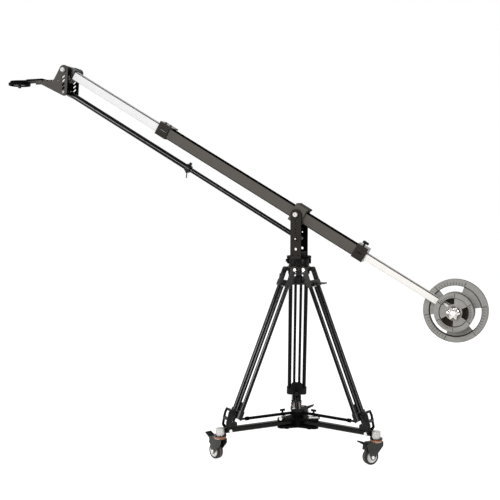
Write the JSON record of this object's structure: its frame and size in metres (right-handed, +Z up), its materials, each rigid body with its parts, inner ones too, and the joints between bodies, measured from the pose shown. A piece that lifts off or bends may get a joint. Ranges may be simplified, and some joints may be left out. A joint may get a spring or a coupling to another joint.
{
  "type": "camera jib crane",
  "caption": "Telescopic camera jib with a self-levelling head and counterweights, on a tripod clamped to a folding wheeled dolly.",
  "frame": {"origin": "on the floor under the centre of the whole crane's bounding box", "axes": "+Z up, +X towards the counterweights, the camera head points to -X"},
  "size_m": [2.5744, 0.7696, 1.9454],
  "materials": {
    "black_alloy": "black anodised or powder-coated alloy, satin",
    "black_steel": "black powder coat on steel, satin",
    "graphite_alloy": "dark graphite anodised alloy, satin",
    "grey_alloy": "mid-grey anodised plate, satin",
    "bare_alloy": "bright drawn aluminium tube",
    "bright_steel": "bright turned steel",
    "chromed": "polished chromed nut",
    "cast_plate": "grey painted cast iron",
    "fork_steel": "zinc-plated pressed steel, grey-green",
    "tyre": "dark brown-grey tread on a pale hub",
    "black_plastic": "black moulded plastic"
  },
  "bodies": {
    "base": {"dolly_hub": "black_steel", "spreader_hub": "black_plastic", "tripod_crown": "black_alloy", "pan_base": "black_alloy", "dolly_arm_1": "black_steel", "spreader_arm_1": "black_alloy", "leg_1_top_casting": "black_alloy", "leg_1_outer_tubes": "black_alloy", "leg_1_inner_tubes": "black_alloy", "dolly_arm_2": "black_steel", "spreader_arm_2": "black_alloy", "leg_2_top_casting": "black_alloy", "leg_2_outer_tubes": "black_alloy", "leg_2_inner_tubes": "black_alloy", "dolly_arm_3": "black_steel", "spreader_arm_3": "black_alloy", "leg_3_top_casting": "black_alloy", "leg_3_outer_tubes": "black_alloy", "leg_3_inner_tubes": "black_alloy"},
    "caster_swivel_1": {"caster_fork_1": "fork_steel"},
    "wheel_1": {"caster_wheel_1": "tyre"},
    "pedal_1": {"brake_pedal_1": "black_plastic"},
    "clamp_1": {"foot_clamp_1": "black_steel"},
    "lock_1": {"leg_lock_1": "black_plastic"},
    "caster_swivel_2": {"caster_fork_2": "fork_steel"},
    "wheel_2": {"caster_wheel_2": "tyre"},
    "pedal_2": {"brake_pedal_2": "black_plastic"},
    "clamp_2": {"foot_clamp_2": "black_steel"},
    "lock_2": {"leg_lock_2": "black_plastic"},
    "caster_swivel_3": {"caster_fork_3": "fork_steel"},
    "wheel_3": {"caster_wheel_3": "tyre"},
    "pedal_3": {"brake_pedal_3": "black_plastic"},
    "clamp_3": {"foot_clamp_3": "black_steel"},
    "lock_3": {"leg_lock_3": "black_plastic"},
    "pan_knob": {"pan_lock_knob": "black_plastic"},
    "yoke": {"yoke_base": "black_alloy", "yoke_near_plate": "graphite_alloy", "yoke_far_plate": "graphite_alloy", "pivot_axle": "bright_steel"},
    "boom": {"boom_outer_tube": "graphite_alloy", "saddle": "graphite_alloy", "front_collar": "black_alloy", "rear_collar": "black_alloy"},
    "rear_knob": {"rear_lock_knob": "black_plastic"},
    "front_arm": {"front_tube": "bare_alloy", "head_end_block": "black_alloy", "head_axle": "bright_steel"},
    "head": {"head_near_plate": "grey_alloy", "head_far_plate": "grey_alloy", "camera_platform": "black_alloy", "bowl_ring": "black_alloy"},
    "bowl_tie": {"bowl_knob": "black_plastic"},
    "rear_arm": {"rear_tube": "bare_alloy", "weight_axle": "bright_steel", "weight_large": "cast_plate", "weight_small": "cast_plate"},
    "nut": {"star_nut": "chromed"},
    "rod": {"rod_rear": "black_alloy"},
    "rod_sleeve": {"rod_front": "black_alloy", "rod_clamp": "black_plastic"}
  },
  "joints": [
    {"name": "pan", "type": "hinge", "parent": "base", "child": "yoke", "pos_m": [0.38964, -0.04625, 0.946], "axis": [0, 0, 1], "continuous": true},
    {"name": "pan_lock", "type": "hinge", "parent": "base", "child": "pan_knob", "pos_m": [0.34019, -0.06232, 0.936], "axis": [-0.9511, -0.309, 0], "continuous": true},
    {"name": "boom_tilt", "type": "hinge", "parent": "yoke", "child": "boom", "pos_m": [0.38964, -0.04625, 1.161], "axis": [0, 1, 0], "range_deg": [-68, 24]},
    {"name": "rod_swing", "type": "hinge", "parent": "yoke", "child": "rod", "pos_m": [0.38964, -0.04625, 1.044], "axis": [0, 1, 0], "range_deg": [-68, 24]},
    {"name": "front_extend", "type": "slide", "parent": "boom", "child": "front_arm", "axis": [0.8634, 0, -0.5045], "range_m": [0, 0.5]},
    {"name": "rod_extend", "type": "slide", "parent": "rod", "child": "rod_sleeve", "axis": [0.8634, 0, -0.5045], "range_m": [0, 0.5]},
    {"name": "head_level", "type": "hinge", "parent": "front_arm", "child": "head", "pos_m": [-0.90718, -0.04625, 1.9188], "axis": [0, 1, 0], "range_deg": [-24, 68]},
    {"name": "rear_extend", "type": "slide", "parent": "boom", "child": "rear_arm", "axis": [-0.8634, 0, 0.5045], "range_m": [0, 0.2]},
    {"name": "weight_nut", "type": "hinge", "parent": "rear_arm", "child": "nut", "pos_m": [1.13918, -0.04625, 0.72127], "axis": [0, 1, 0], "continuous": true},
    {"name": "rear_lock", "type": "hinge", "parent": "boom", "child": "rear_knob", "pos_m": [0.71192, -0.04625, 1.01681], "axis": [0.5045, 0, 0.8634], "continuous": true},
    {"name": "bowl_lock", "type": "hinge", "parent": "head", "child": "bowl_tie", "pos_m": [-1.22818, -0.04625, 1.8658], "axis": [0, 0, 1], "continuous": true},
    {"name": "caster_swivel_1", "type": "hinge", "parent": "base", "child": "caster_swivel_1", "pos_m": [0.25542, 0.35489, 0.115], "axis": [0, 0, 1], "continuous": true},
    {"name": "wheel_spin_1", "type": "hinge", "parent": "caster_swivel_1", "child": "wheel_1", "pos_m": [0.28736, 0.35684, 0.0375], "axis": [-0.061, 0.9981, 0], "continuous": true},
    {"name": "brake_1", "type": "hinge", "parent": "caster_swivel_1", "child": "pedal_1", "pos_m": [0.31032, 0.35824, 0.096], "axis": [-0.061, 0.9981, 0], "range_deg": [0, 20]},
    {"name": "foot_clamp_1", "type": "hinge", "parent": "base", "child": "clamp_1", "pos_m": [0.26875, 0.31506, 0.1395], "axis": [-0.9483, -0.3173, 0], "range_deg": [0, 40]},
    {"name": "leg_lock_1", "type": "hinge", "parent": "base", "child": "lock_1", "pos_m": [0.35671, 0.05217, 0.83097], "axis": [-0.9483, -0.3173, 0], "range_deg": [0, 80]},
    {"name": "caster_swivel_2", "type": "hinge", "parent": "base", "child": "caster_swivel_2", "pos_m": [0.09954, -0.3541, 0.115], "axis": [0, 0, 1], "continuous": true},
    {"name": "wheel_spin_2", "type": "hinge", "parent": "caster_swivel_2", "child": "wheel_2", "pos_m": [0.07172, -0.3383, 0.0375], "axis": [-0.4939, -0.8695, 0], "continuous": true},
    {"name": "brake_2", "type": "hinge", "parent": "caster_swivel_2", "child": "pedal_2", "pos_m": [0.05172, -0.32694, 0.096], "axis": [-0.4939, -0.8695, 0], "range_deg": [0, 20]},
    {"name": "foot_clamp_2", "type": "hinge", "parent": "base", "child": "clamp_2", "pos_m": [0.12835, -0.32354, 0.1395], "axis": [0.7278, -0.6858, 0], "range_deg": [0, 40]},
    {"name": "leg_lock_2", "type": "hinge", "parent": "base", "child": "lock_2", "pos_m": [0.31846, -0.12179, 0.83097], "axis": [0.7278, -0.6858, 0], "range_deg": [0, 80]},
    {"name": "caster_swivel_3", "type": "hinge", "parent": "base", "child": "caster_swivel_3", "pos_m": [0.8018, -0.14141, 0.115], "axis": [0, 0, 1], "continuous": true},
    {"name": "wheel_spin_3", "type": "hinge", "parent": "caster_swivel_3", "child": "wheel_3", "pos_m": [0.78006, -0.16489, 0.0375], "axis": [0.7337, -0.6794, 0], "continuous": true},
    {"name": "brake_3", "type": "hinge", "parent": "caster_swivel_3", "child": "pedal_3", "pos_m": [0.76443, -0.18177, 0.096], "axis": [0.7337, -0.6794, 0], "range_deg": [0, 20]},
    {"name": "foot_clamp_3", "type": "hinge", "parent": "base", "child": "clamp_3", "pos_m": [0.76088, -0.13196, 0.1395], "axis": [0.225, 0.9744, 0], "range_deg": [0, 40]},
    {"name": "leg_lock_3", "type": "hinge", "parent": "base", "child": "lock_3", "pos_m": [0.49077, -0.0696, 0.83097], "axis": [0.225, 0.9744, 0], "range_deg": [-97, 0]}
  ],
  "couplings": [
    {"joint": "rod_swing", "follows": "boom_tilt", "ratio": 1},
    {"joint": "head_level", "follows": "boom_tilt", "ratio": -1},
    {"joint": "rod_extend", "follows": "front_extend", "ratio": 1}
  ]
}
